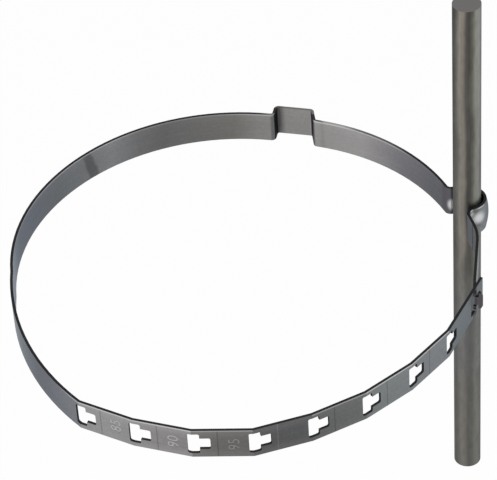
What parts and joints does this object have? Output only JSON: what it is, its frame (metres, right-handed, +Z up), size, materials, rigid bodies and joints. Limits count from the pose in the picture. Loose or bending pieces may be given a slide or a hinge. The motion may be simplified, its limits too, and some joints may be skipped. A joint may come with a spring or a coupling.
{
  "type": "lightning conductor holder",
  "caption": "Folded sheet-steel pipe strap with keyhole windows, a squeeze ear and a hooked tongue, holding a round lightning conductor upright in a side pocket.",
  "frame": {"origin": "on the axis of the pipe that the strap goes round, at the strap's mid-height", "axes": "+Z up along the pipe, +X towards the side with the pocket and the conductor, +Y towards the side with the squeeze ear"},
  "size_m": [0.1358, 0.1355, 0.1723],
  "materials": {
    "strap_steel": "satin, rolled, with bare punched edges",
    "conductor_metal": "dull, lightly weathered, drawn along its length"
  },
  "bodies": {
    "strap": {"strap": "strap_steel"},
    "conductor": {"conductor": "conductor_metal"}
  },
  "joints": [
    {"name": "conductor_slide", "type": "slide", "parent": "strap", "child": "conductor", "axis": [0, 0, 1], "range_m": [-0.06, 0.08]}
  ]
}
